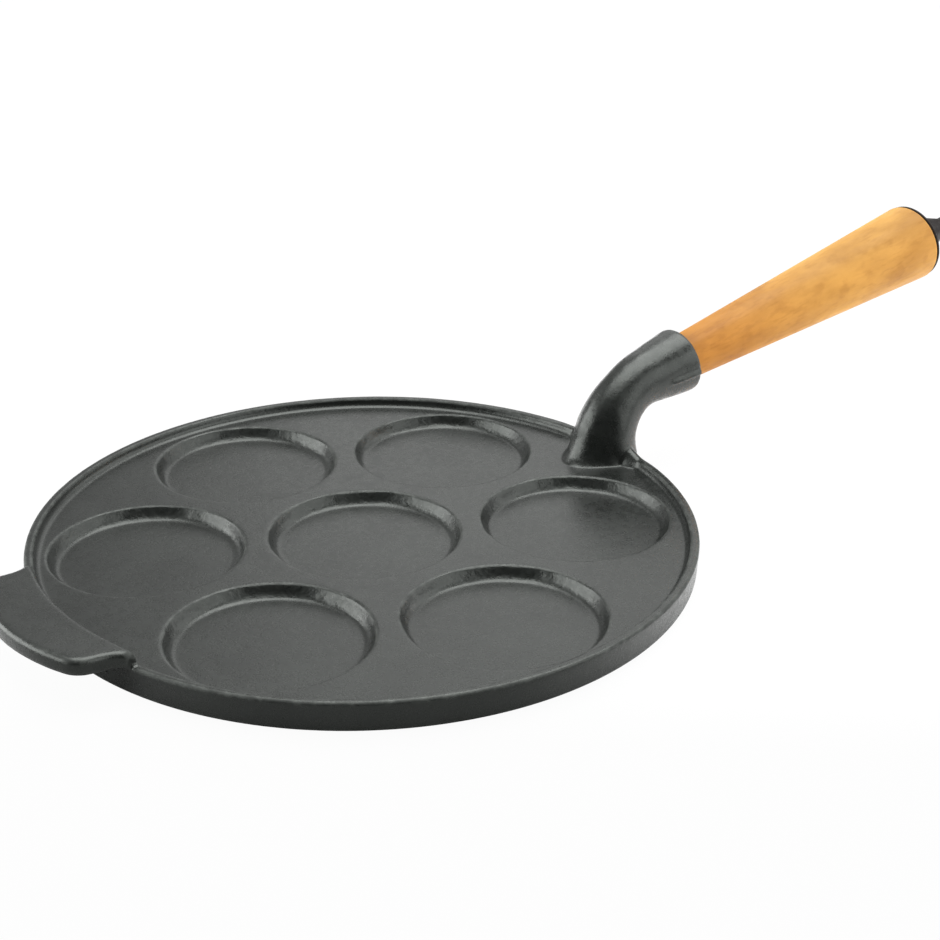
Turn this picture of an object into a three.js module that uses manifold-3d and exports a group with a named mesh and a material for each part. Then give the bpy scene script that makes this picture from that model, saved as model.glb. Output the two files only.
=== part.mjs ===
// Blini pan: an iron casting with seven shallow wells, a lug and a gooseneck socket, and a turned
// beech handle that a tie rod and a hanging eye draw into the socket.
// Millimetres. Z is up, X runs along the handle, and the origin is the middle of the flat underside.

import * as THREE from "three";
import { mergeVertices } from "three/addons/utils/BufferGeometryUtils.js";
import Module from "manifold-3d";

const wasm = await Module();
wasm.setup();

const degree = Math.PI / 180;

// Wells: one in the middle and a ring around it
const ringWells = 6;
const wellDiameter = 66.7;
const wellDepth = 4.4;
const wellWallRun = 1.9;
const wellFloorFillet = 1.2;
const wellEdgeRound = 0.8;
const wellWeb = 7.8;
const wellTurn = 2 * degree;

// Plate and rim
const floorThickness = 4;
const rimHeight = 3.3;
const rimWidth = 4;
const rimWallRun = 1.5;
const rimLand = 1.7;
const rimRound = 0.9;
const sideDraft = 0.6;
const edgeRise = 1.6;
const edgeUndercut = 8;

// Lug, a flat tab that rises outwards from the rim
const lugReach = 18.7;
const lugWidth = 66;
const lugThickness = 6;
const lugRise = 5.2;
const lugTilt = 6 * degree;
const lugNoseRadius = 64;
const lugCornerRadius = 8;
const lugFlare = 4;
const lugRound = 1.1;
const lugInset = 1.2;
const lugGussetDrop = 4.5;
const lugGussetReach = 7;

// Gooseneck: foot on the plate, riser, bend and socket
const footReach = 4.1;
const footSpread = 1;
const footRise = 6.5;
const keelRise = 27.5;
const riserInset = 6.2;
const riserDiameter = 26.4;
const bendRadius = 25;
const waistDiameter = 20.1;
const mouthDiameter = 25.2;
const mouthRound = 1.4;
const mouthReach = 32.5;
const mouthHeight = 28.9;

// Handle line: the grip, its rod, washer and eye, measured along it from the socket's mouth
const handleTilt = 9.2 * degree;
const gripLength = 131.9;
const gripThinDiameter = 17.6;
const gripThickDiameter = 31.5;
const gripEndRound = 0.8;
const socketDepth = 16;
const socketClearance = 0.3;
const rodDiameter = 6;
const rodGrip = 10;
const rodClearance = 0.35;
const washerDiameter = 31;
const washerThickness = 1.5;
const seatGap = 0.3;
const eyeBaseDiameter = 20;
const eyeShankDiameter = 7;
const eyeConeLength = 18;
const eyeShankLength = 9.5;
const eyeRingDiameter = 14;
const eyeBarDiameter = 5;

// Facets of the round shapes
const plateFacets = 96;
const wellFacets = 48;
const neckFacets = 28;
const neckStations = 17;
const gripFacets = 32;
const rodFacets = 16;
const eyeFacets = 20;
const eyeBarFacets = 12;
const eyeRingFacets = 32;
const lugCurveFacets = 7;
const lugEdgeFacets = 2;
const cornerFacets = 3;

// Sizes that follow from those above
const wellRadius = wellDiameter / 2;
const ringRadius = wellDiameter + wellWeb;
const plateTop = floorThickness + wellDepth;
const rimTop = plateTop + rimHeight;
const rimFootRadius = ringRadius + wellRadius + rimLand;
const rimInnerRadius = rimFootRadius + rimWallRun;
const plateRadius = rimInnerRadius + rimWidth;
const lugTop = rimTop + lugRise;
const riserX = plateRadius - riserInset;
const mouth = new THREE.Vector2(plateRadius + mouthReach, plateTop + mouthHeight);
const gripTaper = (gripThickDiameter - gripThinDiameter) / (2 * gripLength);
const washerStart = gripLength + seatGap;
const eyeStart = washerStart + washerThickness + seatGap;
const rodEnd = eyeStart + eyeConeLength - eyeShankDiameter / 2;

const castIron = new THREE.MeshStandardMaterial({ color: 0x50534f, roughness: 0.5, metalness: 0.7 });
const beech = new THREE.MeshStandardMaterial({ color: 0xdca765, roughness: 0.5, metalness: 0 });
const zincSteel = new THREE.MeshStandardMaterial({ color: 0xb4b6b8, roughness: 0.35, metalness: 1 });
const blackSteel = new THREE.MeshStandardMaterial({ color: 0x1c1b1a, roughness: 0.4, metalness: 0.3 });

// A closed solid from a geometry: corners in one place become one, and flat slivers go
function solidOf(geometry) {
  const bare = geometry.clone();
  bare.deleteAttribute("normal");
  bare.deleteAttribute("uv");
  const merged = mergeVertices(bare, 1e-4);
  const index = Array.from(merged.index.array);
  const triVerts = [];
  for (let i = 0; i < index.length; i += 3) {
    const [a, b, c] = index.slice(i, i + 3);
    if (a !== b && b !== c && c !== a) triVerts.push(a, b, c);
  }
  const mesh = new wasm.Mesh({
    numProp: 3,
    vertProperties: new Float32Array(merged.attributes.position.array),
    triVerts: new Uint32Array(triVerts),
  });
  return new wasm.Manifold(mesh);
}

function meshOf(solid, name, material) {
  const { numProp, vertProperties, triVerts } = solid.getMesh();
  const geometry = new THREE.BufferGeometry();
  geometry.setAttribute("position", new THREE.BufferAttribute(new Float32Array(vertProperties), numProp));
  geometry.setIndex(new THREE.BufferAttribute(new Uint32Array(triVerts), 1));
  geometry.computeVertexNormals();
  const mesh = new THREE.Mesh(geometry, material);
  mesh.name = name;
  return mesh;
}

// Points of a round corner between two directions, for a profile
function corner(centreX, centreY, radius, fromDegrees, toDegrees) {
  const arc = new THREE.EllipseCurve(
    centreX, centreY, radius, radius, fromDegrees * degree, toDegrees * degree, toDegrees < fromDegrees);
  return arc.getPoints(cornerFacets);
}

function turned(points, facets) {
  return new THREE.LatheGeometry(points, facets);
}

// A turned shape standing on the plate's own axis, Z
function turnedUpright(points, facets) {
  return turned(points, facets).rotateX(Math.PI / 2);
}

const at = (x, y) => new THREE.Vector2(x, y);

// Plate with its rim: a flat foot, a raised lower edge, drafted sides and a rim around the plate's top
function plateSolid() {
  const sideFoot = plateRadius - sideDraft;
  const profile = [
    at(0, 0),
    at(sideFoot - edgeUndercut, 0),
    at(sideFoot, edgeRise),
    ...corner(plateRadius - rimRound, rimTop - rimRound, rimRound, 0, 90),
    ...corner(rimInnerRadius + rimRound, rimTop - rimRound, rimRound, 90, 150),
    at(rimFootRadius, plateTop),
    at(0, plateTop),
  ];
  return solidOf(turnedUpright(profile, plateFacets));
}

// The space of one well, from its floor to above the plate
function wellSpace() {
  const floorRadius = wellRadius - wellWallRun;
  const mouthRadius = wellRadius + wellEdgeRound;
  const profile = [
    at(0, floorThickness),
    at(floorRadius - wellFloorFillet, floorThickness),
    at(floorRadius, floorThickness + wellFloorFillet / 2),
    at(wellRadius, plateTop - wellEdgeRound / 2),
    at(mouthRadius, plateTop),
    at(mouthRadius, rimTop),
    at(0, rimTop),
  ];
  return solidOf(turnedUpright(profile, wellFacets));
}

function cutWells(plate) {
  const well = wellSpace();
  let cut = plate.subtract(well);
  for (let i = 0; i < ringWells; i += 1) {
    const angle = wellTurn + (i + 0.5) * (2 * Math.PI / ringWells);
    cut = cut.subtract(well.translate([ringRadius * Math.cos(angle), ringRadius * Math.sin(angle), 0]));
  }
  return cut;
}

// The lug's outline seen from above, with the tip along +X and the rim's edge at X = 0
function lugOutline() {
  const half = lugWidth / 2;
  const root = -lugCornerRadius - lugFlare;
  const noseCentre = lugReach - lugNoseRadius;
  const cornerSide = half - lugCornerRadius;
  const cornerCentre = noseCentre + Math.sqrt((lugNoseRadius - lugCornerRadius) ** 2 - cornerSide ** 2);
  const meet = Math.atan2(cornerSide, cornerCentre - noseCentre);
  const shape = new THREE.Shape();
  shape.moveTo(root, -half - lugFlare);
  shape.lineTo(root / 2, -half - lugFlare);
  shape.quadraticCurveTo(root / 4, -half, cornerCentre, -half);
  shape.absarc(cornerCentre, -cornerSide, lugCornerRadius, -Math.PI / 2, -meet, false);
  shape.absarc(noseCentre, 0, lugNoseRadius, -meet, meet, false);
  shape.absarc(cornerCentre, cornerSide, lugCornerRadius, meet, Math.PI / 2, false);
  shape.quadraticCurveTo(root / 4, half, root / 2, half + lugFlare);
  shape.lineTo(root, half + lugFlare);
  shape.closePath();
  return shape;
}

// Lug with rounded edges, its gusset under it, and the rim's inner wall carried up its inner side
function lugSolid() {
  const slab = new THREE.ExtrudeGeometry(lugOutline(), {
    depth: lugThickness - 2 * lugRound,
    bevelThickness: lugRound,
    bevelSize: lugRound,
    bevelOffset: -lugRound,
    bevelSegments: lugEdgeFacets,
    curveSegments: lugCurveFacets,
  });
  slab.translate(0, 0, lugRound - lugThickness).rotateY(-lugTilt).rotateZ(Math.PI);
  slab.translate(-plateRadius, 0, lugTop);

  const gussetTop = rimTop - lugRound;
  const gussetSide = new THREE.Shape([
    at(-plateRadius + rimWidth, gussetTop - lugGussetDrop),
    at(-plateRadius + rimWidth, gussetTop),
    at(-plateRadius - lugGussetReach, gussetTop + lugRound),
    at(-plateRadius - lugGussetReach / 4, gussetTop - lugGussetDrop / 2),
  ]);
  const gussetWidth = lugWidth - 2 * lugCornerRadius;
  const gusset = new THREE.ExtrudeGeometry(gussetSide, { depth: gussetWidth, bevelEnabled: false });
  gusset.rotateX(Math.PI / 2).translate(0, gussetWidth / 2, 0);

  const above = lugTop + lugReach;
  const innerSpace = turnedUpright([
    at(0, plateTop),
    at(rimFootRadius, plateTop),
    at(rimInnerRadius, rimTop),
    at(plateRadius - lugInset, lugTop),
    at(plateRadius - lugInset, above),
    at(0, above),
  ], plateFacets);
  return solidOf(slab).add(solidOf(gusset)).subtract(solidOf(innerSpace));
}

// Middle line of the gooseneck in its upright plane, as X and height: riser, bend and straight socket
function neckLine() {
  const bendX = riserX + bendRadius;
  const bendEndX = bendX - bendRadius * Math.sin(handleTilt);
  const bendEndZ = mouth.y - (mouth.x - bendEndX) * Math.tan(handleTilt);
  const bendZ = bendEndZ - bendRadius * Math.cos(handleTilt);
  const line = new THREE.Path();
  line.moveTo(riserX, plateTop);
  line.lineTo(riserX, bendZ);
  line.absarc(bendX, bendZ, bendRadius, Math.PI, Math.PI / 2 + handleTilt, true);
  line.lineTo(mouth.x, mouth.y);
  return line;
}

// One cross-section of the gooseneck. Near the plate it is drawn out into a keel towards the plate's
// middle, and the foot spreads it a little.
function neckSection(middle, up, half) {
  const height = middle.y - plateTop;
  const flare = Math.max(0, 1 - height / footRise) ** 2;
  return {
    middle,
    up,
    front: half + footReach * flare,
    back: half,
    across: half + footSpread * flare,
    keel: Math.max(0, 1 - height / keelRise),
  };
}

// The foot's root inside the plate, then the sections from the plate's top to the rounded mouth
function neckSections() {
  const rootInner = riserX - riserDiameter / 2 - footReach;
  const rootOuter = plateRadius - sideDraft - rimRound;
  const sections = [{
    middle: at((rootInner + rootOuter) / 2, edgeRise),
    up: at(0, 1),
    front: (rootOuter - rootInner) / 2,
    back: (rootOuter - rootInner) / 2,
    across: riserDiameter / 2 + footSpread,
    keel: 0,
  }];
  const line = neckLine();
  const girth = new THREE.SplineCurve([
    at(0, riserDiameter), at(0.5, waistDiameter), at(1, mouthDiameter)]);
  const roundStart = 1 - mouthRound / line.getLength();
  for (let i = 0; i <= neckStations; i += 1) {
    const share = roundStart * i / neckStations;
    const half = girth.getPoint(share).y / 2;
    sections.push(neckSection(line.getPointAt(share), line.getTangentAt(share), half));
  }
  sections.push(neckSection(mouth, line.getTangentAt(1), (mouthDiameter - mouthRound) / 2));
  return sections;
}

// Skin through the cross-sections, closed at both ends
function neckSolid() {
  const positions = [];
  const index = [];
  const sections = neckSections();
  for (const { middle, up, front, back, across, keel } of sections) {
    for (let k = 0; k < neckFacets; k += 1) {
      const turn = 2 * Math.PI * k / neckFacets;
      const side = Math.cos(turn);
      const reach = side < 0 ? front * side * (1 - keel * (1 + side)) : back * side;
      positions.push(middle.x + reach * up.y, across * Math.sin(turn), middle.y - reach * up.x);
    }
  }
  const ring = (s, k) => s * neckFacets + k % neckFacets;
  for (let s = 0; s + 1 < sections.length; s += 1) {
    for (let k = 0; k < neckFacets; k += 1) {
      index.push(ring(s, k), ring(s, k + 1), ring(s + 1, k + 1));
      index.push(ring(s, k), ring(s + 1, k + 1), ring(s + 1, k));
    }
  }
  const last = sections.length - 1;
  for (let k = 1; k + 1 < neckFacets; k += 1) {
    index.push(ring(0, 0), ring(0, k + 1), ring(0, k));
    index.push(ring(last, 0), ring(last, k), ring(last, k + 1));
  }
  const geometry = new THREE.BufferGeometry();
  geometry.setAttribute("position", new THREE.Float32BufferAttribute(positions, 3));
  geometry.setIndex(index);
  return solidOf(geometry);
}

// Radius of the grip's cone at a distance from the socket's mouth
function gripRadius(distance) {
  return gripThinDiameter / 2 + gripTaper * distance;
}

// Turns a shape made along Y so that it lies along the handle, from the socket's mouth
function alongHandle(geometry) {
  return geometry.rotateZ(-Math.PI / 2).rotateY(-handleTilt).translate(mouth.x, 0, mouth.y);
}

// Conical socket and the rod's blind hole behind it
function socketSpace() {
  const rodHole = rodDiameter / 2 + rodClearance;
  const past = mouthRound * 2;
  return solidOf(alongHandle(turned([
    at(0, -socketDepth - rodGrip),
    at(rodHole, -socketDepth - rodGrip),
    at(rodHole, -socketDepth),
    at(gripRadius(-socketDepth) + socketClearance, -socketDepth),
    at(gripRadius(past) + socketClearance, past),
    at(0, past),
  ], gripFacets)));
}

function panCasting() {
  const neck = neckSolid();
  const casting = cutWells(plateSolid().add(neck)).add(lugSolid()).subtract(socketSpace());
  return meshOf(casting, "pan_casting", castIron);
}

function beechHandle() {
  const bore = rodDiameter / 2 + rodClearance;
  const inner = -socketDepth + seatGap;
  const endRadius = gripThickDiameter / 2;
  const profile = [
    at(bore, inner),
    at(gripRadius(inner), inner),
    at(gripRadius(gripLength - 2 * gripEndRound), gripLength - 2 * gripEndRound),
    ...corner(endRadius - gripEndRound, gripLength - gripEndRound, gripEndRound, 0, 90),
    at(bore, gripLength),
    at(bore, inner),
  ];
  return meshOf(solidOf(turned(profile, gripFacets)), "beech_handle", beech);
}

function tieRod() {
  const start = -socketDepth - rodGrip + seatGap;
  const radius = rodDiameter / 2;
  const profile = [at(0, start), at(radius, start), at(radius, rodEnd), at(0, rodEnd)];
  return meshOf(solidOf(turned(profile, rodFacets)), "tie_rod", zincSteel);
}

function endWasher() {
  const bore = rodDiameter / 2 + rodClearance;
  const end = washerStart + washerThickness;
  const profile = [
    at(bore, washerStart),
    at(washerDiameter / 2, washerStart),
    at(washerDiameter / 2, end),
    at(bore, end),
    at(bore, washerStart),
  ];
  return meshOf(solidOf(turned(profile, gripFacets)), "end_washer", blackSteel);
}

// Conical nut that screws onto the rod and runs out into a flat ring
function hangingEye() {
  const bore = rodDiameter / 2 + rodClearance;
  const shankStart = eyeStart + eyeConeLength;
  const ringMiddle = shankStart + eyeShankLength + eyeRingDiameter / 2;
  const nut = turned([
    at(0, rodEnd + seatGap),
    at(bore, rodEnd + seatGap),
    at(bore, eyeStart),
    at(eyeBaseDiameter / 2, eyeStart),
    at(eyeBaseDiameter / 2, eyeStart + washerThickness),
    at(eyeShankDiameter / 2, shankStart),
    at(eyeShankDiameter / 2, shankStart + eyeShankLength),
    at(0, shankStart + eyeShankLength),
  ], eyeFacets);
  const ring = new THREE.TorusGeometry(eyeRingDiameter / 2, eyeBarDiameter / 2, eyeBarFacets, eyeRingFacets);
  ring.translate(0, ringMiddle, 0);
  return meshOf(solidOf(nut).add(solidOf(ring)), "hanging_eye", blackSteel);
}

const pan = new THREE.Group();
pan.add(panCasting());

const handleLine = new THREE.Group();
handleLine.position.set(mouth.x, 0, mouth.y);
handleLine.rotation.y = -handleTilt;
const turnedPieces = new THREE.Group();
turnedPieces.rotation.z = -Math.PI / 2;
turnedPieces.add(beechHandle(), tieRod(), endWasher(), hangingEye());
handleLine.add(turnedPieces);
pan.add(handleLine);

export default pan;
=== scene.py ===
import bpy
import numpy as np
from math import atan2, cos, pi, radians, sin, sqrt, tan
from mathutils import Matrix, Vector


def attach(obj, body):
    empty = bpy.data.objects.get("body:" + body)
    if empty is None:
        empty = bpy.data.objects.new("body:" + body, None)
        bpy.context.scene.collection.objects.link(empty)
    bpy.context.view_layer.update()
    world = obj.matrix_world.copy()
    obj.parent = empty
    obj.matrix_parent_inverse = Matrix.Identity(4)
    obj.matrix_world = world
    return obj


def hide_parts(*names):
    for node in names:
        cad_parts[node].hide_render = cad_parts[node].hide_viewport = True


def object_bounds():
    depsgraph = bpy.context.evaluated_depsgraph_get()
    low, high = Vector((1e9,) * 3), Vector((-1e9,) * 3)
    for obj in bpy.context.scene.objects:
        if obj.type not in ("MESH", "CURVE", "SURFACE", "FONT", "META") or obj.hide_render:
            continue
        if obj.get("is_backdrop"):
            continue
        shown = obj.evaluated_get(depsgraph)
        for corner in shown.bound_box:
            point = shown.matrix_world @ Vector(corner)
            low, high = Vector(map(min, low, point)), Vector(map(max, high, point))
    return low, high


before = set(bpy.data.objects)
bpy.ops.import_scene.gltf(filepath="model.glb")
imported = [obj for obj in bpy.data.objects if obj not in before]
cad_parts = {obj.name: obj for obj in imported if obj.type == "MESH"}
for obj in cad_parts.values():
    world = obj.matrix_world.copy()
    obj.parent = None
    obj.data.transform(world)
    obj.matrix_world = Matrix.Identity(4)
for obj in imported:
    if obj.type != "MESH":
        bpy.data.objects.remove(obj)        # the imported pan: casting, grip, tie rod, washer and eye
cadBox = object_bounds()
print("frame:", ", ".join(sorted(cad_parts)))

mm = 0.001
weldGap = 0.002 * mm


# picking and modes

def clearPick():
    if bpy.context.object and bpy.context.object.mode != "OBJECT":
        bpy.ops.object.mode_set(mode="OBJECT")
    bpy.ops.object.select_all(action="DESELECT")


def pick(piece, *others):
    clearPick()
    for each in (piece, *others):
        each.select_set(True)
    bpy.context.view_layer.objects.active = piece


def editAll(piece):
    pick(piece)
    bpy.ops.object.mode_set(mode="EDIT")
    bpy.ops.mesh.select_mode(type="VERT")
    bpy.ops.mesh.select_all(action="SELECT")


def leaveEdit():
    bpy.ops.object.mode_set(mode="OBJECT")


def added(name):
    piece = bpy.context.object
    piece.name = name
    piece.data.name = name
    return piece


# outlines, all in millimetres

def softened(corners, steps=5):
    # corners are (a, b, radius): each corner with a radius becomes an arc
    line = []
    for i, (a, b, radius) in enumerate(corners):
        here = Vector((a, b))
        if radius <= 0 or i in (0, len(corners) - 1):
            line.append(here)
            continue
        back = (Vector(corners[i - 1][:2]) - here).normalized()
        ahead = (Vector(corners[i + 1][:2]) - here).normalized()
        half = back.angle(ahead) / 2
        middle = here + (back + ahead).normalized() * (radius / sin(half))
        start = here + back * (radius / tan(half)) - middle
        turn = start.angle_signed(here + ahead * (radius / tan(half)) - middle)
        for k in range(steps + 1):
            angle = -turn * k / steps
            line.append(middle + Vector((start.x * cos(angle) - start.y * sin(angle),
                                         start.x * sin(angle) + start.y * cos(angle))))
    return line


def traced(name, points, upright=True):
    # one vertex, extruded from point to point; upright puts the outline in the XZ plane
    clearPick()
    bpy.ops.mesh.primitive_plane_add(size=mm)
    piece = added(name)
    editAll(piece)
    bpy.ops.mesh.merge(type="CENTER")
    place = [Vector((p[0], 0, p[1]) if upright else (p[0], p[1], 0)) * mm for p in points]
    bpy.ops.transform.translate(value=place[0])
    for here, there in zip(place, place[1:]):
        bpy.ops.mesh.extrude_region_move(TRANSFORM_OT_translate={"value": there - here})
    return piece


def turned(name, points, sides):
    # the outline spun about Z
    piece = traced(name, points)
    bpy.ops.mesh.select_all(action="SELECT")
    bpy.ops.mesh.spin(steps=sides, angle=2 * pi, center=(0, 0, 0), axis=(0, 0, 1))
    bpy.ops.mesh.select_all(action="SELECT")
    bpy.ops.mesh.remove_doubles(threshold=weldGap)
    bpy.ops.mesh.normals_make_consistent(inside=False)
    leaveEdit()
    return piece


def slab(name, outline, thickness, upright=False):
    # a filled outline, extruded
    piece = traced(name, outline, upright)
    bpy.ops.mesh.select_all(action="SELECT")
    bpy.ops.mesh.edge_face_add()
    push = (0, thickness * mm, 0) if upright else (0, 0, thickness * mm)
    bpy.ops.mesh.extrude_region_move(TRANSFORM_OT_translate={"value": push})
    bpy.ops.mesh.select_all(action="SELECT")
    bpy.ops.mesh.normals_make_consistent(inside=False)
    leaveEdit()
    return piece


# modifiers

def finished(piece, kind, **settings):
    pick(piece)
    bpy.ops.object.modifier_add(type=kind)
    modifier = piece.modifiers[-1]
    for key, value in settings.items():
        setattr(modifier, key, value)
    bpy.ops.object.modifier_apply(modifier=modifier.name)


def cutBy(piece, cutter):
    finished(piece, "BOOLEAN", operation="DIFFERENCE", solver="EXACT", object=cutter)
    bpy.data.objects.remove(cutter)
    return piece


def joined(piece, *others):
    pick(piece, *others)
    bpy.ops.object.join()
    return piece


def settled(piece):
    pick(piece)
    bpy.ops.object.transform_apply(location=True, rotation=True, scale=True)
    return piece


def copied(piece, name):
    pick(piece)
    bpy.ops.object.duplicate()
    return added(name)


def faceCount(piece):
    return sum(len(p.vertices) - 2 for p in piece.data.polygons)


# handle line: from the socket's mouth, outwards and up
handleLine = {"mouthX": 147.55, "mouthZ": 37.3, "tilt": radians(9.2)}


def alongHandle(piece):
    # a piece made along Z is laid on the handle line
    piece.rotation_euler = (0, pi / 2 - handleLine["tilt"], 0)
    piece.location = (handleLine["mouthX"] * mm, 0, handleLine["mouthZ"] * mm)
    return settled(piece)


# the casting

plate = {
    "radius": 115.05, "footRadius": 106.4, "edgeRise": 1.6, "sideDraft": 0.6, "sides": 288,
    "top": 8.4, "rimTop": 11.7, "rimInner": 111.9, "rimFoot": 111.3,
    "footRound": 3, "edgeRound": 1.2, "rimRound": 0.9, "rimFillet": 2.1,
}


def plateBlank():
    p = plate
    return turned("pan_casting_look", softened([
        (0, 0, 0),
        (p["footRadius"], 0, p["footRound"]),
        (p["radius"] - p["sideDraft"], p["edgeRise"], p["edgeRound"]),
        (p["radius"], p["rimTop"], p["rimRound"]),
        (p["rimInner"], p["rimTop"], p["rimRound"]),
        (p["rimFoot"], p["top"], p["rimFillet"]),
        (0, p["top"], 0),
    ]), p["sides"])


wells = {
    "radius": 33.4, "wallRun": 2.5, "floor": 4.0, "floorFillet": 3.0, "edgeRound": 0.3,
    "count": 6, "ringRadius": 74.5, "turn": radians(2), "sides": 144, "lipGap": 0.01, "past": 3,
}


def cutWells(blank):
    w = wells
    lip = plate["top"] + w["lipGap"]
    brim = w["radius"] + 2 * w["edgeRound"]
    top = plate["rimTop"] + w["past"]
    middle = turned("well", softened([
        (0, w["floor"], 0),
        (w["radius"] - w["wallRun"], w["floor"], w["floorFillet"]),
        (w["radius"], lip, w["edgeRound"]),
        (brim, lip, 0),
        (brim, top, 0),
        (0, top, 0),
    ]), w["sides"])
    ring = []
    for i in range(w["count"]):
        angle = w["turn"] + (i + 0.5) * 2 * pi / w["count"]
        each = copied(middle, "well_%d" % (i + 1))
        each.location = (w["ringRadius"] * cos(angle) * mm, w["ringRadius"] * sin(angle) * mm, 0)
        ring.append(settled(each))
    return cutBy(blank, joined(middle, *ring))


lug = {
    "reach": 18.7, "width": 66, "thickness": 6, "rise": 5.2, "tilt": radians(4.5),
    "noseRadius": 64, "cornerRadius": 8, "flare": 2.5, "edgeRound": 1.9, "inset": 1.7, "innerRound": 1.7,
    "flareSteps": 8, "cornerSteps": 10, "noseSteps": 16, "roundSteps": 4, "lipGap": 0.02, "past": 20,
    "gussetDrop": 4.5, "gussetReach": 7, "gussetSink": 1.1, "gussetInset": 0.4,
}


def lugOutline():
    half = lug["width"] / 2
    side = half - lug["cornerRadius"]
    root = -lug["cornerRadius"] - lug["flare"]
    noseX = lug["reach"] - lug["noseRadius"]
    cornerX = noseX + sqrt((lug["noseRadius"] - lug["cornerRadius"]) ** 2 - side ** 2)
    meet = atan2(side, cornerX - noseX)
    wide = half + lug["flare"]
    right = [(root, -wide), (root / 2, -wide)]
    for k in range(1, lug["flareSteps"] + 1):        # the flare runs into the straight side
        t = k / lug["flareSteps"]
        right.append(((1 - t) ** 2 * root / 2 + 2 * t * (1 - t) * root / 4 + t * t * cornerX,
                      (1 - t) ** 2 * -wide - (1 - (1 - t) ** 2) * half))
    for k in range(1, lug["cornerSteps"] + 1):       # round corner
        angle = -pi / 2 + (pi / 2 - meet) * k / lug["cornerSteps"]
        right.append((cornerX + lug["cornerRadius"] * cos(angle), -side + lug["cornerRadius"] * sin(angle)))
    for k in range(1, lug["noseSteps"]):             # wide nose, up to the middle
        angle = -meet * (1 - k / lug["noseSteps"])
        right.append((noseX + lug["noseRadius"] * cos(angle), lug["noseRadius"] * sin(angle)))
    left = [(x, -y) for x, y in reversed(right)]
    return right + [(lug["reach"], 0)] + left


def lugTab():
    tab = slab("lug", lugOutline(), -lug["thickness"])
    finished(tab, "BEVEL", width=lug["edgeRound"] * mm, segments=lug["roundSteps"],
             limit_method="ANGLE", angle_limit=radians(60))
    tab.rotation_euler = (0, -lug["tilt"], pi)
    lugTop = plate["rimTop"] + lug["rise"]
    tab.location = (-plate["radius"] * mm, 0, lugTop * mm)
    settled(tab)
    gussetTop = plate["rimTop"] - lug["gussetSink"]
    rimX = -plate["rimInner"] - lug["gussetInset"]
    gusset = slab("lug_gusset", [
        (rimX, gussetTop - lug["gussetDrop"]),
        (rimX, gussetTop),
        (-plate["radius"] - lug["gussetReach"], gussetTop + lug["gussetSink"]),
        (-plate["radius"] - lug["gussetReach"] / 4, gussetTop - lug["gussetDrop"] / 2),
    ], lug["width"] - 2 * lug["cornerRadius"], upright=True)
    gusset.location = (0, -(lug["width"] / 2 - lug["cornerRadius"]) * mm, 0)
    settled(gusset)
    # the rim's inner wall is carried up the lug's inner side
    edge = plate["radius"] - lug["inset"]
    lip = lugTop + lug["lipGap"]
    inside = turned("lug_inside", softened([
        (0, plate["top"], 0),
        (plate["rimFoot"], plate["top"], 0),
        (plate["rimInner"], plate["rimTop"], 0),
        (edge, lip, lug["innerRound"]),
        (edge + lug["innerRound"], lip, 0),
        (edge + lug["innerRound"], lugTop + lug["past"], 0),
        (0, lugTop + lug["past"], 0),
    ]), plate["sides"])
    return joined(cutBy(tab, inside), gusset)


neck = {
    "riserInset": 6.2, "riserDiameter": 26.4, "bendRadius": 25, "waistDiameter": 20.1,
    "mouthDiameter": 25.2, "mouthRound": 1.4, "footReach": 4.1, "footSpread": 1, "footRise": 6.5,
    "keelRise": 27.5, "stations": 30, "lipSteps": 3, "sides": 56,
}


def neckPath():
    # riser, bend and straight socket as X and height, sampled evenly
    tilt, bend = handleLine["tilt"], neck["bendRadius"]
    riserX = plate["radius"] - neck["riserInset"]
    endX = riserX + bend - bend * sin(tilt)
    endZ = handleLine["mouthZ"] - (handleLine["mouthX"] - endX) * tan(tilt)
    startZ = endZ - bend * cos(tilt)
    riser = startZ - plate["top"]
    arc = bend * (pi / 2 - tilt)
    straight = (handleLine["mouthX"] - endX) / cos(tilt)
    length = riser + arc + straight

    def place(share):
        s = share * length
        if s < riser:
            return Vector((riserX, plate["top"] + s)), Vector((0, 1))
        if s < riser + arc:
            a = (s - riser) / bend
            return (Vector((riserX + bend - bend * cos(a), startZ + bend * sin(a))), Vector((sin(a), cos(a))))
        s -= riser + arc
        return Vector((endX + s * cos(tilt), endZ + s * sin(tilt))), Vector((cos(tilt), sin(tilt)))

    return place, length


def footTip():
    # how near the neck's foot comes to the plate's middle
    return plate["radius"] - neck["riserInset"] - neck["riserDiameter"] / 2 - neck["footReach"]


def girth(share):
    # smooth through the riser, the waist and the mouth
    a, b, c = neck["riserDiameter"], neck["waistDiameter"], neck["mouthDiameter"]
    if share < 0.5:
        t, ends, slopes = share * 2, (a, b), ((b - a) / 2, (c - a) / 2)
    else:
        t, ends, slopes = share * 2 - 1, (b, c), ((c - a) / 2, (c - b) / 2)
    return ((2 * t ** 3 - 3 * t * t + 1) * ends[0] + (t ** 3 - 2 * t * t + t) * slopes[0]
            + (3 * t * t - 2 * t ** 3) * ends[1] + (t ** 3 - t * t) * slopes[1])


def neckOutline(front, back, across, keel):
    # a round, drawn out into a keel on the side of the plate's middle
    line = []
    for k in range(neck["sides"] + 1):
        turn = 2 * pi * k / neck["sides"]
        side = cos(turn)
        line.append((front * side * (1 - keel * (1 + side)) if side < 0 else back * side, across * sin(turn)))
    return line


def ringAt(name, x, z, lean, outline):
    ring = traced(name, outline, upright=False)
    bpy.ops.mesh.select_all(action="SELECT")
    bpy.ops.mesh.remove_doubles(threshold=weldGap)
    leaveEdit()
    ring.rotation_euler = (0, lean, 0)
    ring.location = (x * mm, 0, z * mm)
    return settled(ring)


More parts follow.
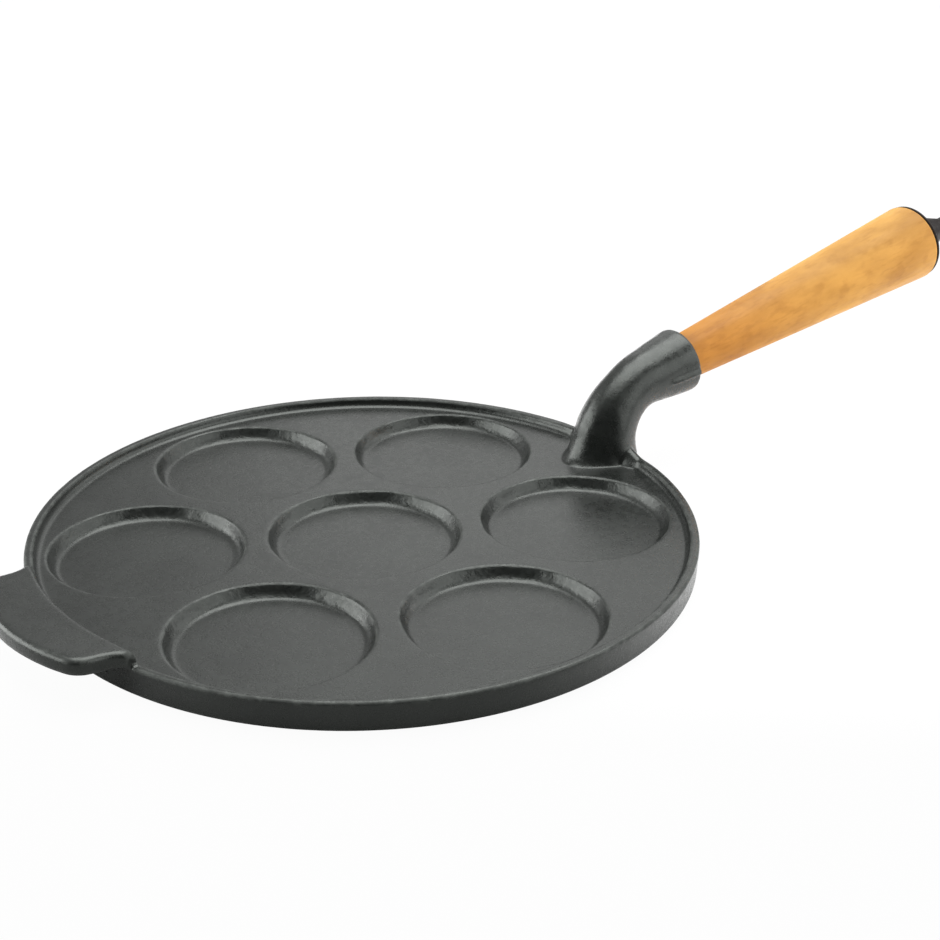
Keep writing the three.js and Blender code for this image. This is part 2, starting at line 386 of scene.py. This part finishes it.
def neckRing(name, middle, up, half):
    height = middle.y - plate["top"]
    flare = max(0, 1 - height / neck["footRise"]) ** 2
    outline = neckOutline(half + neck["footReach"] * flare, half, half + neck["footSpread"] * flare,
                          max(0, 1 - height / neck["keelRise"]))
    return ringAt(name, middle.x, middle.y, atan2(up.x, up.y), outline)


def skinned(rings):
    body = joined(*rings)
    editAll(body)
    bpy.ops.mesh.bridge_edge_loops()
    bpy.ops.mesh.select_all(action="DESELECT")
    bpy.ops.mesh.select_non_manifold()
    bpy.ops.mesh.edge_face_add()
    bpy.ops.mesh.select_all(action="SELECT")
    bpy.ops.mesh.normals_make_consistent(inside=False)
    leaveEdit()
    return body


def gooseneck():
    place, length = neckPath()
    inner = footTip()
    outer = plate["radius"] - plate["sideDraft"] - plate["rimRound"]
    half = (outer - inner) / 2
    root = neckOutline(half, half, neck["riserDiameter"] / 2 + neck["footSpread"], 0)
    rings = [ringAt("neck_root", (inner + outer) / 2, plate["edgeRise"], 0, root)]
    last = 1 - neck["mouthRound"] / length
    for i in range(neck["stations"] + 1):
        share = last * i / neck["stations"]
        middle, up = place(share)
        rings.append(neckRing("neck_%02d" % i, middle, up, girth(share) / 2))
    for k in range(1, neck["lipSteps"] + 1):         # the mouth's rounded lip
        angle = k * pi / (2 * neck["lipSteps"])
        middle, up = place(last + (1 - last) * sin(angle))
        lip = neck["mouthDiameter"] / 2 - neck["mouthRound"] * (1 - cos(angle))
        rings.append(neckRing("lip_%d" % k, middle, up, lip))
    return skinned(rings)


seam = {
    "from": 0.66, "to": 0.985, "radius": 1.1, "proud": 1.0, "fade": 3, "turn": radians(4),
    "stations": 10, "sides": 12,
}


def castSeam(side):
    # the parting line that the two halves of the mould leave along the socket
    place, _ = neckPath()
    rings = []
    for i in range(seam["stations"] + 1):
        share = seam["from"] + (seam["to"] - seam["from"]) * i / seam["stations"]
        middle, up = place(share)
        rise = min(1, seam["fade"] * i / seam["stations"])       # it dies away towards the bend
        reach = girth(share) / 2 - seam["radius"] + seam["proud"] * (2 * rise - 1)
        drop = reach * sin(seam["turn"])
        clearPick()
        bpy.ops.mesh.primitive_circle_add(
            vertices=seam["sides"], radius=seam["radius"] * mm, rotation=(0, atan2(up.x, up.y), 0),
            location=((middle.x + drop * up.y) * mm, side * reach * cos(seam["turn"]) * mm,
                      (middle.y - drop * up.x) * mm))
        rings.append(settled(added("seam_%02d" % i)))
    return skinned(rings)


web = {
    # X, distance from the handle's plane, height and radius: a ramp from the rim up the neck's side
    "balls": ((110.6, 13.6, 8.2, 3.6), (111.8, 18.5, 9.2, 2.2), (111.2, 10.2, 13.0, 2.4)),
}


def rimWeb(side):
    # the rim runs up into the neck: a few balls, drawn into one hull
    balls = []
    for x, y, z, radius in web["balls"]:
        clearPick()
        bpy.ops.mesh.primitive_ico_sphere_add(
            subdivisions=3, radius=radius * mm, location=(x * mm, side * y * mm, z * mm))
        balls.append(settled(added("web_ball")))
    hull = joined(*balls)
    editAll(hull)
    bpy.ops.mesh.convex_hull()
    bpy.ops.mesh.select_all(action="SELECT")
    bpy.ops.mesh.normals_make_consistent(inside=False)
    leaveEdit()
    return hull


grip = {
    "length": 131.9, "thin": 17.6, "thick": 31.5, "bore": 3.35, "inner": -15.7,
    "innerRound": 0.5, "endRound": 0.8, "boreRound": 0.4, "roundSteps": 8, "sides": 160,
}
socket = {"depth": 16, "clearance": 0.3, "rodHole": 26, "past": 3, "sides": 96}


def gripRadius(distance):
    return grip["thin"] / 2 + (grip["thick"] - grip["thin"]) / 2 * distance / grip["length"]


def socketCutter():
    k = socket
    return alongHandle(turned("socket", softened([
        (0, -k["rodHole"], 0),
        (grip["bore"], -k["rodHole"], 0),
        (grip["bore"], -k["depth"], 0),
        (gripRadius(-k["depth"]) + k["clearance"], -k["depth"], 0),
        (gripRadius(k["past"]) + k["clearance"], k["past"], 0),
        (0, k["past"], 0),
    ]), k["sides"]))


castFinish = {
    # the voxel and the heights are in millimetres, the scales and depths of the noise in metres
    "voxel": 0.5, "smooth": 2, "blend": 16, "triangles": 192000, "leastWeight": 0.02,
    "skinScale": 0.005, "skinDepth": 0.00007, "skinZ": (1, 3), "lumpScale": 0.011, "lumpDepth": 0.0007,
}
fillets = {
    # where the casting is smoothed more: each pair starts and ends a fade, in millimetres
    "footAhead": 2, "footLength": 18, "footWidest": 1.4, "footMargin": (10, 6),
    "footBottom": (-1, 0), "footTop": (7, 3), "footFront": (100, 106), "footFrontLeast": 0.2,
    "lugX": (-88, -96), "lugBand": (6, 4), "lugZ": (5, 8), "lugShare": 0.25,
    "wornX": (-10, -60), "wornY": (-20, -50), "wornZ": (9, 10.5), "wornRadius": (108, 110),
}
lumps = {
    # where it is lumpier, with pairs of the same kind; "steep" is a levelness
    "steep": (0.93, 0.68), "insideRim": (108, 106),
    "neckX": (88, 92), "neckEnd": (144, 140), "neckZ": (13, 16), "neckShare": 0.7,
    "lugX": (-108, -112), "lugZ": (12, 14), "lugShare": 0.35,
}


def ramp(value, start, end):
    return np.clip((value - start) / (end - start), 0, 1)


def grouped(piece, name, weight):
    group = piece.vertex_groups.new(name=name)
    for i in np.nonzero(weight > castFinish["leastWeight"])[0]:
        group.add([int(i)], float(weight[i]), "REPLACE")
    return name


def places(piece):
    co = np.empty(len(piece.data.vertices) * 3)
    piece.data.vertices.foreach_get("co", co)
    return (co.reshape(-1, 3) / mm).T


def levelness(piece):
    # 1 where the skin lies flat, 0 where it stands upright
    normal = np.empty(len(piece.data.vertices) * 3)
    piece.data.vertices.foreach_get("normal", normal)
    return np.abs(normal.reshape(-1, 3)[:, 2])


def filletWeight(piece):
    # more smoothing where the foot, the rim and the lug grow out of each other
    f = fillets
    x, y, z = places(piece)
    out = np.hypot(x, y)
    tip = footTip()
    widening = np.clip((x - tip + f["footAhead"]) / f["footLength"], 0, f["footWidest"])
    halfWidth = neck["riserDiameter"] / 2 * np.sqrt(widening)
    nearFoot = ramp(np.abs(y) - halfWidth, *f["footMargin"]) * ramp(z - plate["top"], *f["footBottom"])
    nearFoot *= ramp(z - plate["rimTop"], *f["footTop"]) * (x > tip - f["footAhead"])
    nearFoot *= np.maximum(ramp(x, *f["footFront"]), f["footFrontLeast"])
    nearLug = ramp(x, *f["lugX"]) * ramp(np.abs(out - plate["radius"]), *f["lugBand"]) * ramp(z, *f["lugZ"])
    # beside the lug, the rim's edge is worn round
    worn = ramp(x, *f["wornX"]) * ramp(y, *f["wornY"]) * ramp(z, *f["wornZ"]) * ramp(out, *f["wornRadius"])
    return np.maximum(np.maximum(nearFoot, nearLug * f["lugShare"]), worn)


def lumpWeight(piece):
    # the walls of the wells, the neck and the lug are lumpier than the ground plate
    x, y, z = places(piece)
    inWells = ramp(levelness(piece), *lumps["steep"]) * ramp(np.hypot(x, y), *lumps["insideRim"])
    onNeck = ramp(x, *lumps["neckX"]) * ramp(z, *lumps["neckZ"]) * ramp(x, *lumps["neckEnd"]) * lumps["neckShare"]
    onLug = ramp(x, *lumps["lugX"]) * ramp(z, *lumps["lugZ"]) * lumps["lugShare"]
    return np.maximum(np.maximum(inWells, onNeck), onLug)


def clouds(name, scale):
    skin = bpy.data.textures.new(name, type="CLOUDS")
    skin.noise_scale = scale
    skin.noise_depth = 3
    return skin


def castPan():
    c = castFinish
    casting = cutWells(plateBlank())
    print("plate with wells:", faceCount(casting), "triangles")
    tab = lugTab()
    arm = cutBy(gooseneck(), socketCutter())
    print("lug and gooseneck:", faceCount(tab), faceCount(arm), "triangles")
    joined(casting, tab, arm, castSeam(1), castSeam(-1), rimWeb(1), rimWeb(-1))
    finished(casting, "REMESH", mode="VOXEL", voxel_size=c["voxel"] * mm)
    print("cast in one:", faceCount(casting), "triangles")
    finished(casting, "SMOOTH", factor=0.5, iterations=c["blend"],
             vertex_group=grouped(casting, "fillets", filletWeight(casting)))
    finished(casting, "SMOOTH", factor=0.5, iterations=c["smooth"])
    finished(casting, "DISPLACE", texture=clouds("cast lumps", c["lumpScale"]), texture_coords="LOCAL",
             strength=c["lumpDepth"], mid_level=0.5,
             vertex_group=grouped(casting, "lumps", lumpWeight(casting)))
    finished(casting, "DISPLACE", texture=clouds("cast skin", c["skinScale"]), texture_coords="LOCAL",
             strength=c["skinDepth"], mid_level=0.5,
             vertex_group=grouped(casting, "skin", ramp(places(casting)[2], *c["skinZ"])))
    finished(casting, "DECIMATE", decimate_type="COLLAPSE", ratio=min(1, c["triangles"] / faceCount(casting)))
    casting.vertex_groups.clear()
    pick(casting)
    bpy.ops.object.shade_smooth()
    print("casting:", faceCount(casting), "triangles")
    return casting


casting = castPan()
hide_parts("pan_casting")
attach(casting, "root")


# beech grip

def beechGrip():
    g = grip
    piece = turned("beech_handle_look", softened([
        (g["bore"], g["inner"], 0),
        (gripRadius(g["inner"]), g["inner"], g["innerRound"]),
        (g["thick"] / 2, g["length"], g["endRound"]),
        (g["bore"], g["length"], g["boreRound"]),
        (g["bore"], g["inner"], 0),
    ], g["roundSteps"]), g["sides"])
    return alongHandle(piece)


handle = beechGrip()
pick(handle)
bpy.ops.object.shade_smooth_by_angle(angle=radians(35))
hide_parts("beech_handle")
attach(handle, "root")
print("grip:", faceCount(handle), "triangles")


# washer and hanging eye

washer = {
    "start": 132.2, "thickness": 1.5, "radius": 15.45, "bore": 3.35,
    "edge": 0.3, "backEdge": 0.8, "boreEdge": 0.2, "roundSteps": 4, "sides": 96,
}


def endWasher():
    w = washer
    end = w["start"] + w["thickness"]
    seamAt = w["start"] + w["thickness"] / 3         # the outline closes inside the bore
    return alongHandle(turned("end_washer_look", softened([
        (w["bore"], seamAt, 0),
        (w["bore"], w["start"], w["boreEdge"]),
        (w["radius"], w["start"], w["edge"]),
        (w["radius"], end, w["backEdge"]),
        (w["bore"], end, w["boreEdge"]),
        (w["bore"], seamAt, 0),
    ], w["roundSteps"]), w["sides"]))


eye = {
    "start": 134.0, "base": 10, "collar": 1.5, "cone": 18, "shank": 3.5, "shankLength": 9.5,
    "baseRound": 0.5, "collarRound": 0.7, "coneRound": 6, "sides": 72,
    "ring": 7, "bar": 2.5, "ringSides": (72, 32), "bore": 3.35, "boreEnd": 148.8, "voxel": 0.3, "smooth": 6,
}


def hangingEye():
    e = eye
    coneEnd = e["start"] + e["cone"]
    shankEnd = coneEnd + e["shankLength"]
    nut = turned("hanging_eye_look", softened([
        (0, e["boreEnd"], 0),
        (e["bore"], e["boreEnd"], 0),
        (e["bore"], e["start"], 0),
        (e["base"], e["start"], e["baseRound"]),
        (e["base"], e["start"] + e["collar"], e["collarRound"]),
        (e["shank"], coneEnd, e["coneRound"]),
        (e["shank"], shankEnd, 0),
        (0, shankEnd, 0),
    ]), e["sides"])
    clearPick()
    around, across = e["ringSides"]
    bpy.ops.mesh.primitive_torus_add(
        major_radius=e["ring"] * mm, minor_radius=e["bar"] * mm, major_segments=around, minor_segments=across,
        location=(0, 0, (shankEnd + e["ring"]) * mm), rotation=(0, pi / 2, 0))
    joined(nut, settled(added("eye_ring")))
    finished(nut, "REMESH", mode="VOXEL", voxel_size=e["voxel"] * mm)
    finished(nut, "SMOOTH", factor=0.5, iterations=e["smooth"])
    return alongHandle(nut)


washerLook = endWasher()
eyeLook = hangingEye()
for piece, node in ((washerLook, "end_washer"), (eyeLook, "hanging_eye")):
    pick(piece)
    bpy.ops.object.shade_smooth_by_angle(angle=radians(40))
    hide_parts(node)
    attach(piece, "root")
print("washer and eye:", faceCount(washerLook), faceCount(eyeLook), "triangles")


# materials

def newMaterial(name):
    material = bpy.data.materials.new(name)
    material.use_nodes = True
    tree = material.node_tree
    return material, tree, tree.nodes["Principled BSDF"]


def fill(tree, target, value):
    # a link where the value comes from a node, a plain number or colour otherwise
    if isinstance(value, bpy.types.NodeSocket):
        tree.links.new(value, target)
    else:
        target.default_value = value


def addNode(tree, kind, settings=None, **inputs):
    node = tree.nodes.new(kind)
    for key, value in (settings or {}).items():
        setattr(node, key, value)
    for key, value in inputs.items():
        fill(tree, node.inputs[key], value)
    return node


def objectPlace(tree):
    return addNode(tree, "ShaderNodeTexCoord").outputs["Object"]


def attribute(tree, name):
    return addNode(tree, "ShaderNodeAttribute", {"attribute_name": name}).outputs["Fac"]


def sums(tree, operation, first, second, third=None):
    node = addNode(tree, "ShaderNodeMath", {"operation": operation})
    for target, value in zip(node.inputs, (first, second, third)):
        if value is not None:
            fill(tree, target, value)
    return node.outputs["Value"]


def leaning(tree, vector, way):
    # how far a vector reaches in one direction
    node = addNode(tree, "ShaderNodeVectorMath", {"operation": "DOT_PRODUCT"})
    fill(tree, node.inputs[0], vector)
    fill(tree, node.inputs[1], way)
    return node.outputs["Value"]


def spread(tree, value, start, end, low=0.0, high=1.0):
    node = addNode(tree, "ShaderNodeMapRange", {"interpolation_type": "SMOOTHSTEP"}, Value=value)
    for label, number in (("From Min", start), ("From Max", end), ("To Min", low), ("To Max", high)):
        node.inputs[label].default_value = number
    return node.outputs["Result"]


def mixedColour(tree, share, first, second, way="MIX"):
    node = addNode(tree, "ShaderNodeMix", {"data_type": "RGBA", "blend_type": way}, Factor=share)
    for target, value in ((node.inputs[6], first), (node.inputs[7], second)):
        fill(tree, target, value if isinstance(value, bpy.types.NodeSocket) else (*value, 1))
    return node.outputs[2]


def noise(tree, where, scale, detail, roughness):
    return addNode(tree, "ShaderNodeTexNoise", Vector=where, Scale=scale, Detail=detail,
                   Roughness=roughness).outputs["Fac"]


def newGroup(name, inputs, outputs):
    group = bpy.data.node_groups.new(name, "ShaderNodeTree")
    for way, sockets in (("INPUT", inputs), ("OUTPUT", outputs)):
        for label, kind in sockets:
            group.interface.new_socket(name=label, in_out=way, socket_type="NodeSocket" + kind)
    return group, group.nodes.new("NodeGroupInput").outputs, group.nodes.new("NodeGroupOutput").inputs


patchEnds = (0.3, 0.7)       # the part of a noise's range that patches are drawn from


def surfaceGrain():
    # fine grit over a coarser roll, for bump and for patches of gloss
    group, given, out = newGroup(
        "surface grain", [("Vector", "Vector"), ("Scale", "Float"), ("Coarse", "Float")],
        [("Height", "Float"), ("Patch", "Float")])
    fine = noise(group, given["Vector"], given["Scale"], 4.0, 0.65)
    roll = noise(group, given["Vector"], sums(group, "MULTIPLY", given["Scale"], 0.25), 3.0, 0.55)
    group.links.new(sums(group, "MULTIPLY_ADD", roll, given["Coarse"], fine), out["Height"])
    group.links.new(roll, out["Patch"])
    return group


def tonePatches():
    # slow drift between a dark and a light tone
    group, given, out = newGroup(
        "tone patches", [("Vector", "Vector"), ("Scale", "Float"), ("Dark", "Color"), ("Light", "Color")],
        [("Color", "Color")])
    share = spread(group, noise(group, given["Vector"], given["Scale"], 5.0, 0.6), *patchEnds)
    group.links.new(mixedColour(group, share, given["Dark"], given["Light"]), out["Color"])
    return group


grainGroup = surfaceGrain()
toneGroup = tonePatches()


def grainIn(tree, where, scale, coarse):
    return addNode(tree, "ShaderNodeGroup", {"node_tree": grainGroup}, Vector=where, Scale=scale,
                   Coarse=coarse).outputs


def toneIn(tree, where, scale, dark, light):
    return addNode(tree, "ShaderNodeGroup", {"node_tree": toneGroup}, Vector=where, Scale=scale,
                   Dark=(*dark, 1), Light=(*light, 1)).outputs


def bumped(tree, shader, height, strength, distance):
    bump = addNode(tree, "ShaderNodeBump", Strength=strength, Distance=distance, Height=height)
    tree.links.new(bump.outputs["Normal"], shader.inputs["Normal"])


def glossed(tree, shader, grain, roughness):
    tree.links.new(spread(tree, grain["Patch"], *patchEnds, *roughness), shader.inputs["Roughness"])


iron = {
    # the worn colour lightens the edges: partly real worn seasoning, partly a painted edge highlight
    "dark": (0.0038, 0.0045, 0.0039), "light": (0.0085, 0.0098, 0.0087), "worn": (0.032, 0.035, 0.032),
    "roughness": (0.24, 0.33), "tint": (0.945, 1.0, 0.95), "ior": 1.52,
    "patches": 42.0, "grain": 1700.0, "roll": 1.1, "bump": 0.27, "depth": 0.0002,
    "edgeBendScale": 0.0025, "edgeBendRounds": 2, "wearAndHighlightEnds": (0.25, 0.9), "crumbs": 230.0, "crumbEnds": (0.4, 0.66),
    "edgeEnds": (0.5, 0.95), "edgeRoughness": 0.35,
    "rawSteep": (0.96, 0.76), "rawInside": (108, 106), "rawZ": (0.3, -0.1),
    "rawRoughness": 0.02, "rawGrain": 620.0, "rawBump": 3.4,
}


def keep(piece, name, value):
    layer = piece.data.attributes.new(name, "FLOAT", "POINT")
    layer.data.foreach_set("value", value.astype(np.float32))


def keepEdgeWearAndHighlight(piece):
    # how sharply each vertex stands out, kept as an attribute for lighter edges, partly worn and partly a painted
    # edge highlight, and for rougher edges
    mesh = piece.data
    count = len(mesh.vertices)
    co = np.empty(count * 3)
    normal = np.empty(count * 3)
    edges = np.empty(len(mesh.edges) * 2, dtype=np.int64)
    mesh.vertices.foreach_get("co", co)
    mesh.vertices.foreach_get("normal", normal)
    mesh.edges.foreach_get("vertices", edges)
    co, normal = co.reshape(-1, 3), normal.reshape(-1, 3)
    a, b = edges.reshape(-1, 2).T
    step = co[b] - co[a]
    bend = ((normal[b] - normal[a]) * step).sum(1) / np.maximum((step * step).sum(1), 1e-12)
    ends = np.maximum(np.bincount(a, minlength=count) + np.bincount(b, minlength=count), 1)
    value = (np.bincount(a, bend, count) + np.bincount(b, bend, count)) / ends
    for _ in range(iron["edgeBendRounds"]):        # averaged with the neighbours
        value = (value + (np.bincount(a, value[b], count) + np.bincount(b, value[a], count)) / ends) / 2
    keep(piece, "edgeWearAndHighlight", np.clip(value * iron["edgeBendScale"], -1, 1))


def rawWalls(piece):
    # the walls of the wells keep their rough cast skin, where the rest is ground smooth
    x, y, z = places(piece)
    inWells = ramp(np.hypot(x, y), *iron["rawInside"]) * ramp(z - plate["top"], *iron["rawZ"])
    keep(piece, "rawSkin", ramp(levelness(piece), *iron["rawSteep"]) * inWells)


def castIron():
    material, tree, shader = newMaterial("cast iron")
    where = objectPlace(tree)
    tone = toneIn(tree, where, iron["patches"], iron["dark"], iron["light"])
    grain = grainIn(tree, where, iron["grain"], iron["roll"])
    edge = attribute(tree, "edgeWearAndHighlight")
    raw = attribute(tree, "rawSkin")
    # lighter edges, partly worn seasoning and partly a painted highlight, broken up along the edges
    crumbs = spread(tree, noise(tree, where, iron["crumbs"], 4.0, 0.65), *iron["crumbEnds"])
    worn = sums(tree, "MULTIPLY", spread(tree, edge, *iron["wearAndHighlightEnds"]), crumbs)
    tree.links.new(mixedColour(tree, worn, tone["Color"], iron["worn"]), shader.inputs["Base Color"])
    # sharp edges and raw walls are rougher than the ground faces
    rough = spread(tree, grain["Patch"], *patchEnds, *iron["roughness"])
    rough = sums(tree, "MULTIPLY_ADD", spread(tree, edge, *iron["edgeEnds"]), iron["edgeRoughness"], rough)
    rough = sums(tree, "MULTIPLY_ADD", raw, iron["rawRoughness"], rough)
    tree.links.new(rough, shader.inputs["Roughness"])
    pits = sums(tree, "MULTIPLY", raw, noise(tree, where, iron["rawGrain"], 3.0, 0.6))
    height = sums(tree, "MULTIPLY_ADD", pits, iron["rawBump"], grain["Height"])
    bumped(tree, shader, height, iron["bump"], iron["depth"])
    shader.inputs["IOR"].default_value = iron["ior"]
    shader.inputs["Specular Tint"].default_value = (*iron["tint"], 1)
    return material


wood = {
    # the third colour darkens the grip's upper side: painted shade, not a colour of the wood
    "deep": (0.550, 0.258, 0.037), "pale": (0.718, 0.376, 0.070), "paintedTopShade": (0.79, 0.82, 0.92),
    "socketEnd": (0.88, 0.72, 0.52), "spot": (0.88, 0.83, 0.74), "fleck": (0.92, 0.885, 0.82),
    "ior": 1.38, "roughness": (0.46, 0.58), "diffuseRoughness": 1.0, "tint": (1.0, 0.90, 0.74),
    # each mark has its scale, its stretch along the grip and the ends of its fade
    "tone": (75.0, 0.4), "grain": (1500.0, 0.1), "roll": 0.8, "bump": 0.1, "depth": 0.0002,
    "paintedTopShadeWay": (0, 0.577, 0.816), "paintedTopShadeEnds": (-0.008, 0.013), "socketEnds": (0.085, 0.0),
    "spots": (170.0, 0.6), "spotEnds": (0.5, 0.7), "patches": 60.0, "fleckPatches": (0.36, 0.56),
    "dashes": (760.0, 0.2), "dashEnds": (0.51, 0.68),
}


def along(tree, where, stretch):
    node = addNode(tree, "ShaderNodeMapping", Vector=where)
    node.inputs["Scale"].default_value = (stretch, 1, 1)
    return node.outputs["Vector"]


def beech():
    material, tree, shader = newMaterial("varnished beech")
    turnedIn = addNode(tree, "ShaderNodeMapping", {"vector_type": "TEXTURE"}, Vector=objectPlace(tree))
    turnedIn.inputs["Location"].default_value = (handleLine["mouthX"] * mm, 0, handleLine["mouthZ"] * mm)
    turnedIn.inputs["Rotation"].default_value = (0, -handleLine["tilt"], 0)
    billet = turnedIn.outputs["Vector"]              # X runs along the grain

    def marks(mark, detail):
        scale, stretch = wood[mark]
        return noise(tree, along(tree, billet, stretch), scale, detail, 0.5)

    toneScale, toneStretch = wood["tone"]
    tone = toneIn(tree, along(tree, billet, toneStretch), toneScale, wood["deep"], wood["pale"])
    grainScale, grainStretch = wood["grain"]
    grain = grainIn(tree, along(tree, billet, grainStretch), grainScale, wood["roll"])
    # painted shade: the upper side of the grip is darkened, against the strong light from above
    paintedTopShade = spread(tree, leaning(tree, billet, wood["paintedTopShadeWay"]), *wood["paintedTopShadeEnds"])
    colour = mixedColour(tree, paintedTopShade, tone["Color"], wood["paintedTopShade"], "MULTIPLY")
    # and towards the socket
    length = addNode(tree, "ShaderNodeSeparateXYZ", Vector=billet).outputs["X"]
    colour = mixedColour(tree, spread(tree, length, *wood["socketEnds"]), colour, wood["socketEnd"], "MULTIPLY")
    spots = spread(tree, marks("spots", 3.0), *wood["spotEnds"])
    colour = mixedColour(tree, spots, colour, wood["spot"], "MULTIPLY")
    # short flecks, in patches
    patchy = spread(tree, noise(tree, billet, wood["patches"], 2.0, 0.5), *wood["fleckPatches"])
    dashes = spread(tree, marks("dashes", 2.0), *wood["dashEnds"])
    colour = mixedColour(tree, sums(tree, "MULTIPLY", patchy, dashes), colour, wood["fleck"], "MULTIPLY")
    tree.links.new(colour, shader.inputs["Base Color"])
    glossed(tree, shader, grain, wood["roughness"])
    bumped(tree, shader, grain["Height"], wood["bump"], wood["depth"])
    shader.inputs["Diffuse Roughness"].default_value = wood["diffuseRoughness"]
    shader.inputs["IOR"].default_value = wood["ior"]
    shader.inputs["Specular Tint"].default_value = (*wood["tint"], 1)
    return material


steel = {
    "dark": (0.004, 0.003, 0.0027), "light": (0.008, 0.006, 0.0055), "patches": 160.0,
    "roughness": (0.40, 0.54), "gloss": 0.1, "tint": (1.0, 0.84, 0.78),
    "grain": 1800.0, "roll": 0.8, "bump": 0.2, "depth": 0.0001,
}
zinc = {
    "dark": (0.42, 0.43, 0.44), "light": (0.52, 0.53, 0.55), "patches": 400.0, "roughness": (0.3, 0.5),
    "grain": 2200.0, "roll": 0.6, "bump": 0.1, "depth": 0.0001,
}


def plainMetal(name, finish):
    material, tree, shader = newMaterial(name)
    where = objectPlace(tree)
    grain = grainIn(tree, where, finish["grain"], finish["roll"])
    tone = toneIn(tree, where, finish["patches"], finish["dark"], finish["light"])
    tree.links.new(tone["Color"], shader.inputs["Base Color"])
    glossed(tree, shader, grain, finish["roughness"])
    bumped(tree, shader, grain["Height"], finish["bump"], finish["depth"])
    return material, shader


def blackSteel():
    material, shader = plainMetal("black steel", steel)
    shader.inputs["Specular IOR Level"].default_value = steel["gloss"]
    shader.inputs["Specular Tint"].default_value = (*steel["tint"], 1)
    return material


def zincSteel():
    material, shader = plainMetal("zinc plated steel", zinc)
    shader.inputs["Metallic"].default_value = 1.0
    return material


def dressed(piece, material):
    piece.data.materials.clear()
    piece.data.materials.append(material)


keepEdgeWearAndHighlight(casting)
rawWalls(casting)
steelLook = blackSteel()
dressed(casting, castIron())
dressed(handle, beech())
dressed(washerLook, steelLook)
dressed(eyeLook, steelLook)
dressed(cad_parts["tie_rod"], zincSteel())
print("materials on")


# floor, light and camera

studio = {
    "floorSize": 40.0, "floorDrop": 0.0002, "floorPaintedShadeTone": (0.82, 0.30), "floorShade": (0.055, 0.12),
    "floorTurn": radians(-130), "floorWhite": 0.96, "floorRoughness": 0.9, "floorGloss": 0.2,
    "front": 0.07, "back": 0.50, "backTurn": radians(50), "backEnds": (-0.55, 0.45),
    "top": 0.3, "topEnds": (0.3, 1.0),
}


def level(turn):
    return cos(turn), sin(turn), 0       # a direction along the floor


def cameraRay(tree):
    return addNode(tree, "ShaderNodeLightPath").outputs["Is Camera Ray"]


def paleFloor():
    clearPick()
    bpy.ops.mesh.primitive_plane_add(size=studio["floorSize"], location=(0, 0, -studio["floorDrop"]))
    floor = settled(added("floor"))
    material, tree, shader = newMaterial("pale floor")
    # painted shade: the floor's colour darkens towards the front, standing in for the shade in front of the pan
    forward = leaning(tree, objectPlace(tree), level(studio["floorTurn"]))
    tree.links.new(spread(tree, forward, *studio["floorShade"], *studio["floorPaintedShadeTone"]), shader.inputs["Base Color"])
    shader.inputs["Roughness"].default_value = studio["floorRoughness"]
    shader.inputs["Specular IOR Level"].default_value = studio["floorGloss"]
    # and it is bright where it is seen, as in a studio shot
    white = addNode(tree, "ShaderNodeEmission", Strength=1.0)
    blend = addNode(tree, "ShaderNodeMixShader", Fac=sums(tree, "MULTIPLY", cameraRay(tree), studio["floorWhite"]))
    tree.links.new(shader.outputs["BSDF"], blend.inputs[1])
    tree.links.new(white.outputs["Emission"], blend.inputs[2])
    tree.links.new(blend.outputs["Shader"], tree.nodes["Material Output"].inputs["Surface"])
    dressed(floor, material)
    floor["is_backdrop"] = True


softBoxes = (
    # name, place, aim, width and height, glow
    ("overhead", (0.30, 0.12, 1.55), (0.10, 0.05, 0.0), (1.45, 1.70), 4.8),
    ("behind", (1.04, 0.86, 0.72), (0.05, 0.0, 0.0), (1.15, 0.7), 0.85),
    ("left", (-0.85, 0.64, 0.40), (0.1, 0.0, 0.03), (1.40, 0.72), 5.0),
    ("right", (0.47, -1.03, 0.52), (0.13, 0.0, 0.03), (0.85, 0.92), 2.3),
    ("side card", (0.78, -0.27, 0.36), (0.1, 0.0, 0.03), (0.80, 0.70), 1.8),
)


def softBox(name, place, aim, size, glow):
    clearPick()
    bpy.ops.object.light_add(type="AREA", location=place)
    lamp = bpy.context.object
    lamp.name = name
    lamp.data.shape = "RECTANGLE"
    lamp.data.size, lamp.data.size_y = size
    lamp.data.energy = glow * size[0] * size[1] * pi
    lamp.visible_camera = False
    lamp.rotation_euler = (Vector(aim) - Vector(place)).to_track_quat("-Z", "Y").to_euler()


def studioWorld():
    world = bpy.data.worlds.new("studio")
    bpy.context.scene.world = world
    world.use_nodes = True
    tree = world.node_tree
    ground = tree.nodes["Background"]
    way = addNode(tree, "ShaderNodeTexCoord").outputs["Generated"]
    backward = leaning(tree, way, level(studio["backTurn"]))
    across = spread(tree, backward, *studio["backEnds"], studio["front"], studio["back"])
    height = addNode(tree, "ShaderNodeSeparateXYZ", Vector=way).outputs["Z"]
    upwards = spread(tree, height, *studio["topEnds"], 0, studio["top"])
    # the backdrop itself is white
    seen = sums(tree, "MAXIMUM", sums(tree, "ADD", across, upwards), cameraRay(tree))
    tree.links.new(seen, ground.inputs["Strength"])
    ground.inputs["Color"].default_value = (1, 1, 1, 1)


paleFloor()
studioWorld()
for each in softBoxes:
    softBox(*each)

camera = {
    "place": (-0.31241, -0.46498, 0.29256), "lift": 65.028, "turn": -37.622,
    "lens": 69.39, "sensor": 36, "nearest": 0.01,
}
clearPick()
bpy.ops.object.camera_add(
    location=camera["place"], rotation=(radians(camera["lift"]), 0, radians(camera["turn"])))
shot = bpy.context.object
shot.name = "photo_camera"
shot.data.lens = camera["lens"]
shot.data.sensor_width = camera["sensor"]
shot.data.clip_start = camera["nearest"]
bpy.context.scene.camera = shot
bpy.context.scene.view_settings.view_transform = "Standard"
print("studio ready")

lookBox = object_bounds()
for name, box in (("solids", cadBox), ("look", lookBox)):
    print(name, "box in mm:", [[round(v / mm, 2) for v in c] for c in box])
